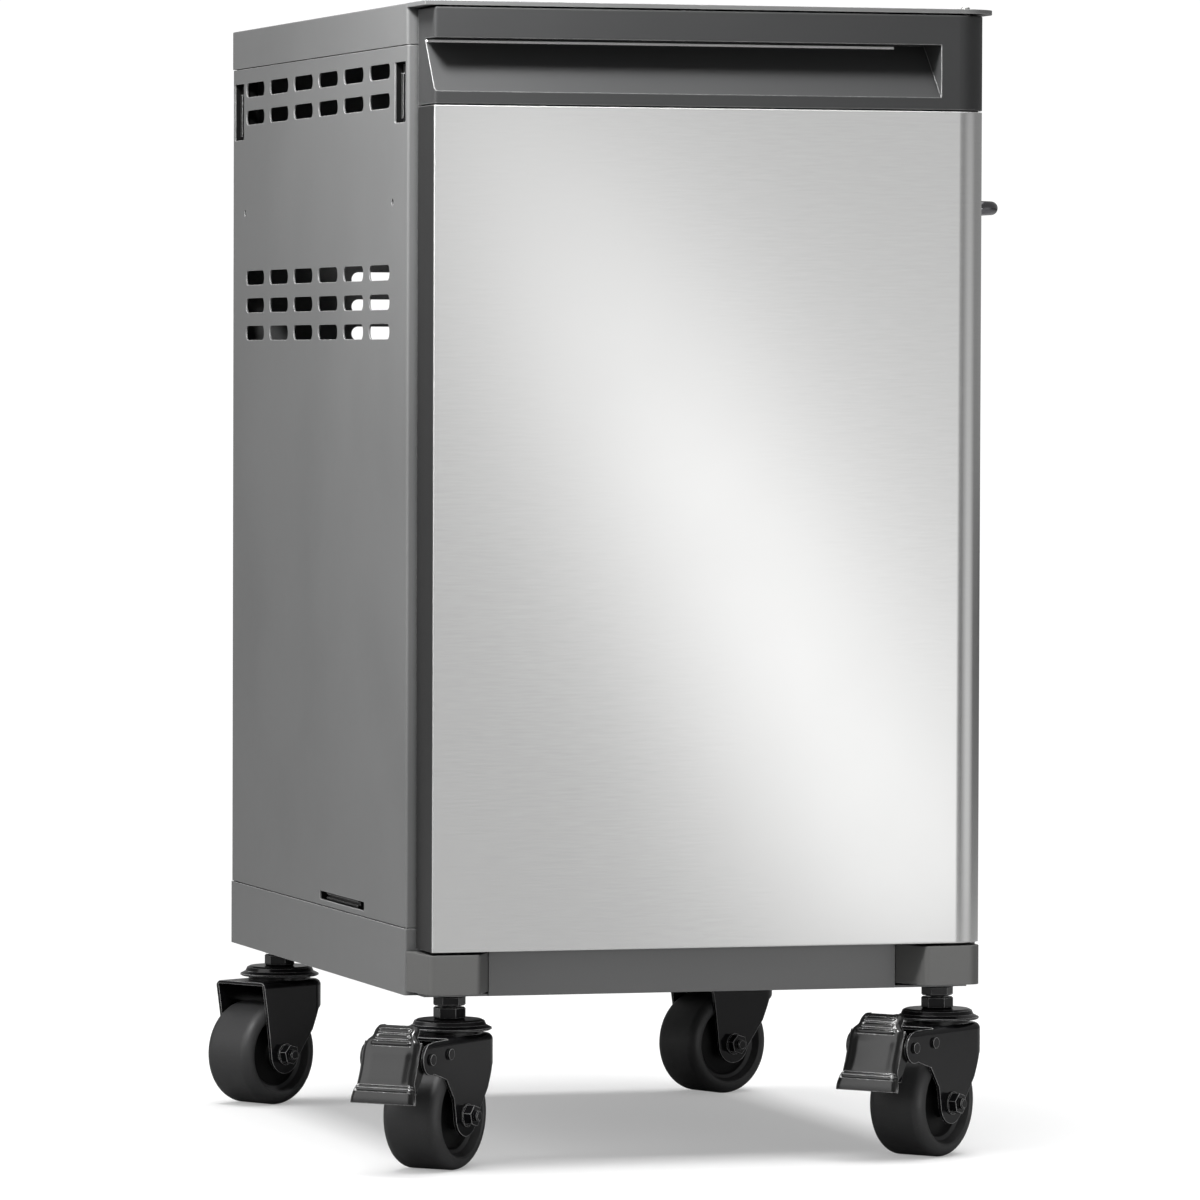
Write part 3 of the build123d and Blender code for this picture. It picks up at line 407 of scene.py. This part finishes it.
def brushed_metal(name, colour, roughness, brush=(9.0, 9.0, 190.0), spread=0.012, edge=0.002):
    """Metal brushed along the two axes whose brush numbers are small, with bright edges painted as a highlight:
    there the metal turns into a pale non-metal.
    """
    material, tree, shader, place = finish_base(name, metallic=1.0)
    fine = noise(tree, place, 6.0, 3.0, brush)
    coarse = noise(tree, place, 3.0, 2.0, brush)
    clouds = noise(tree, place, 3.0, 3.0)
    darker = tuple(channel * 0.955 for channel in colour)
    lines = math_node(tree, "MULTIPLY_ADD", coarse, 0.5, math_node(tree, "MULTIPLY", fine, 0.5))
    brushed = mix_colour(tree, between(tree, lines, 0.0, 1.0), darker, colour)
    tree.links.new(brushed, shader.inputs["Base Color"])
    gloss = math_node(tree, "ADD", between(tree, lines, roughness - spread, roughness + spread),
                      between(tree, clouds, -0.01, 0.015))
    tree.links.new(gloss, shader.inputs["Roughness"])
    edge_highlight, rounded = edge_mask(tree, edge)
    # Painted highlight: at the edges the metal turns to its pale base colour as a non-metal, which shows as a
    # bright line.
    tree.links.new(math_node(tree, "MULTIPLY_ADD", edge_highlight, -0.8, 1.0), shader.inputs["Metallic"])
    tree.links.new(bump(tree, fine, brush_depth, rounded), shader.inputs["Normal"])
    return material


def polished_metal(name, colour, roughness):
    """Plated metal with faint drawing marks and smudges."""
    material, tree, shader, place = finish_base(name, metallic=1.0)
    smudges = noise(tree, place, 30.0, 5.0)
    marks = noise(tree, place, 900.0, 2.0)
    darker = tuple(channel * 0.9 for channel in colour)
    smudged = mix_colour(tree, between(tree, smudges, 0.0, 1.0), darker, colour)
    tree.links.new(smudged, shader.inputs["Base Color"])
    tree.links.new(between(tree, smudges, roughness, roughness + 0.07), shader.inputs["Roughness"])
    tree.links.new(bump(tree, marks, 0.000004), shader.inputs["Normal"])
    return material


def wheel_rubber(name, colour, roughness):
    """Matt tread with pale dust specks and faint scuffs."""
    material, tree, shader, place = finish_base(name)
    specks = between(tree, noise(tree, place, 700.0, 1.0), 0.0, 1.0, 0.66, 0.74)
    clouds = noise(tree, place, 40.0, 4.0)
    dusty = tuple(channel * 2.2 for channel in colour)
    darker = tuple(channel * 0.85 for channel in colour)
    body = mix_colour(tree, between(tree, clouds, 0.0, 1.0), darker, colour)
    speckled = mix_colour(tree, math_node(tree, "MULTIPLY", specks, 0.5), body, dusty)
    tree.links.new(speckled, shader.inputs["Base Color"])
    tree.links.new(between(tree, clouds, roughness - 0.06, roughness + 0.08), shader.inputs["Roughness"])
    tree.links.new(bump(tree, noise(tree, place, 1500.0, 2.0), 0.00004), shader.inputs["Normal"])
    return material


# In each paint, the grey after the roughness is the painted highlight on its edges.
finishes = {
    "carcass_paint": lambda: paint("carcass_paint", (0.12, 0.121, 0.121), 0.45, 0.45, edge=0.001),
    "trim_grey": lambda: paint("trim_grey", (0.088, 0.088, 0.086), 0.45, 0.3, edge=0.001),
    "edge_trim": lambda: paint("edge_trim", (0.014, 0.014, 0.014), 0.4, 0.3, specular=0.2),
    "handle_plastic": lambda: paint("handle_plastic", (0.04, 0.0405, 0.041), 0.4, 0.55,
                                    edge=0.0014, specular=0.2),
    "brushed_steel": lambda: brushed_metal("brushed_steel", (0.74, 0.74, 0.735), 0.17),
    "grip_bright": lambda: paint("grip_bright", (0.9, 0.9, 0.9), 0.3, 0.9, specular=0.5),
    "polished_rod": lambda: polished_metal("polished_rod", (0.16, 0.16, 0.17), 0.1),
    "zinc_screw": lambda: polished_metal("zinc_screw", (0.6, 0.6, 0.58), 0.3),
    "dark_steel": lambda: paint("dark_steel", (0.01, 0.01, 0.01), 0.4, 0.5,
                                edge=0.001, specular=0.15),
    "black_plastic": lambda: moulded_plastic("black_plastic", (0.005, 0.005, 0.005), 0.45,
                                             specular=0.1),
    "rubber": lambda: wheel_rubber("rubber", (0.02, 0.02, 0.02), 0.7),
    "caster_black": lambda: paint("caster_black", (0.004, 0.004, 0.0045), 0.16, 0.45,
                                  edge=0.001, specular=0.22),
    # The pedal's rib crests also get a painted highlight.
    "pedal_black": lambda: paint("pedal_black", (0.004, 0.004, 0.004), 0.21, 0.5,
                                 edge=0.001, specular=0.36, crest_highlight=(0.56, 0.64)),
    "wheel_tread": lambda: wheel_rubber("wheel_tread", (0.0145, 0.0145, 0.015), 0.55),
    "wheel_hub": lambda: moulded_plastic("wheel_hub", (0.004, 0.004, 0.004), 0.4, specular=0.12),
}
made_finishes = {}


def finish_of(slot_name):
    """The material of one of the record's slots, made once."""
    if slot_name not in made_finishes:
        made_finishes[slot_name] = finishes[slot_name]()
    return made_finishes[slot_name]


def paint_cad_nodes():
    """Gives every CAD node the finish of its slot."""
    for subpart in frame["record"]["subparts"]:
        node = nodes[subpart["node"]]
        material = finish_of(subpart["material_slot"])
        if not node.material_slots:
            node.data.materials.append(material)
        for material_slot in node.material_slots:
            material_slot.material = material


# ---------------------------------------------------------------- brake pedals

# Reach from the stem axis, height above the floor and half-width in mm, down the pedal's face.
pedal_outline = [
    (92.0, 133.5, 19.5), (95.5, 130, 21), (99.5, 125, 21.5), (103, 120, 26.0),
    (105.5, 112.5, 27.5), (108, 104, 27.3), (112, 93, 27.0), (115.5, 83.5, 28.0),
    (118, 78.5, 30.0), (120, 72, 31.5), (121, 66.3, 32),
]
pedal_ribs = (0.12, 0.22, 0.32)    # places down the face, from 0 at the top to 1 at the lip
pedal_beads = (0.755, 0.805)
pedal_sheet = 2.2
flange_outline = [
    (101, 121), (105.5, 112), (107.5, 104), (111, 93), (115, 83), (117, 78.5), (112, 77),
    (105, 82), (99, 91), (94, 96.5),
]
flange_inner = 27.3
flange_outer = 29.5
pivot = Vector((90, 105))
pivot_lobe_r = 9


def caster_frame(corner):
    """Matrix from a caster's own frame to the object's: Z up the stem, +X towards the wheel."""
    swivel = Vector(joints[f"{corner}_swivel"]["pos_m"])
    across = Vector(joints[f"{corner}_wheel_spin"]["axis"])
    turn = math.atan2(-across.x, across.y)
    return Matrix.Translation((swivel.x, swivel.y, 0)) @ Matrix.Rotation(turn, 4, "Z")


def smooth_through(points, position):
    """Point at position 0…1 of a smooth curve through points, by Catmull-Rom spans."""
    spans = len(points) - 1
    index = min(int(position * spans), spans - 1)
    t = position * spans - index
    p = [points[max(0, min(spans, index + k))] for k in (-1, 0, 1, 2)]
    return tuple(
        0.5 * (2 * b + (c - a) * t + (2 * a - 5 * b + 4 * c - d) * t * t
               + (3 * b - a - 3 * c + d) * t ** 3)
        for a, b, c, d in zip(*p)
    )


def bell(value, middle, half_width):
    """Smooth bump of height 1 at middle that is 0 beyond half_width."""
    off = abs(value - middle) / half_width
    return 0.0 if off >= 1 else 0.5 + 0.5 * math.cos(math.pi * off)


def plateau(value, low, high, ramp):
    """1 between low and high, with smooth ramps outside them."""
    inside = min(value - low, high - value) / ramp
    return max(0.0, min(1.0, inside + 1))


def add_pedal(corner):
    """Pressed brake pedal: ribbed top, raised pad, two beads, flared lip and bent side flanges."""
    rows, columns = 120, 44
    bm = bmesh.new()
    grid = []
    for i in range(rows + 1):
        position = i / rows
        reach, height, half = smooth_through(pedal_outline, position)
        half *= 1 - 0.25 * max(0.0, 1 - position / 0.04) ** 2
        after = smooth_through(pedal_outline, min(1, position + 0.01))
        before = smooth_through(pedal_outline, max(0, position - 0.01))
        slope = Vector((after[0] - before[0], 0, after[1] - before[1])).normalized()
        outward = Vector((-slope.z, 0, slope.x))
        line = []
        for j in range(columns + 1):
            side = -1 + 2 * j / columns
            raised = 0.0
            for rib in pedal_ribs:
                raised += 1.4 * bell(position, rib, 0.024) * plateau(abs(side), -1, 0.68, 0.1)
            raised += 0.9 * plateau(position, 0.44, 0.66, 0.1) * plateau(abs(side), -1, 0.62, 0.22)
            for bead in pedal_beads:
                raised += 0.9 * bell(position, bead, 0.022) * plateau(abs(side), -1, 0.9, 0.1)
            turned_back = 2.6 * max(0.0, abs(side) - 0.88) / 0.12
            lift = raised - turned_back * turned_back * 0.4
            point = Vector((reach, side * half, height)) + outward * lift
            line.append(bm.verts.new(point * mm))
        grid.append(line)
    for upper, lower in zip(grid, grid[1:]):
        for j in range(columns):
            bm.faces.new((upper[j], upper[j + 1], lower[j + 1], lower[j]))
    mesh = bpy.data.meshes.new(f"{corner}_pedal_face")
    bm.to_mesh(mesh)
    bm.free()
    for polygon in mesh.polygons:
        polygon.use_smooth = True
    plate = bpy.data.objects.new(f"{corner}_pedal_face", mesh)
    bpy.context.scene.collection.objects.link(plate)
    plate.matrix_world = caster_frame(corner)
    solidify = plate.modifiers.new("sheet", "SOLIDIFY")
    solidify.thickness = pedal_sheet * mm
    solidify.offset = -1
    bevel = plate.modifiers.new("edges", "BEVEL")
    bevel.width = 0.5 * mm
    bevel.segments = 2
    bevel.limit_method = "ANGLE"
    bevel.angle_limit = math.radians(50)
    mesh.materials.append(finish_of("pedal_black"))
    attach(plate, f"{corner}_pedal")
    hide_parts(f"{corner}_pedal")
    for side in (-1, 1):
        add_pedal_flange(corner, side)


def add_pedal_flange(corner, side):
    """Side flange of the pedal, with the lobe that the pivot pin passes through."""
    lobe_turns = [math.radians(turn) for turn in range(-80, -301, -20)]
    lobe = [pivot + pivot_lobe_r * Vector((math.cos(turn), math.sin(turn))) for turn in lobe_turns]
    points = [Vector(p) for p in flange_outline] + lobe
    inner, outer = flange_inner * side, flange_outer * side
    bm = bmesh.new()
    rings = [[bm.verts.new(Vector((p.x, y, p.y)) * mm) for p in points] for y in (inner, outer)]
    bm.faces.new(rings[0])
    bm.faces.new(list(reversed(rings[1])))
    count = len(points)
    for k in range(count):
        following = (k + 1) % count
        bm.faces.new((rings[0][k], rings[1][k], rings[1][following], rings[0][following]))
    bmesh.ops.recalc_face_normals(bm, faces=bm.faces)
    name = f"{corner}_pedal_flange_{'near' if side > 0 else 'far'}"
    mesh = bpy.data.meshes.new(name)
    bm.to_mesh(mesh)
    bm.free()
    flange = bpy.data.objects.new(name, mesh)
    bpy.context.scene.collection.objects.link(flange)
    flange.matrix_world = caster_frame(corner)
    bevel = flange.modifiers.new("edges", "BEVEL")
    bevel.width = 0.6 * mm
    bevel.segments = 3
    bevel.limit_method = "ANGLE"
    mesh.materials.append(finish_of("pedal_black"))
    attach(flange, f"{corner}_pedal")
    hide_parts(f"{corner}_pedal")


# ---------------------------------------------------------------- the scene

add_studio()
paint_cad_nodes()
for pedal_corner in ("front_left", "front_right"):
    add_pedal(pedal_corner)
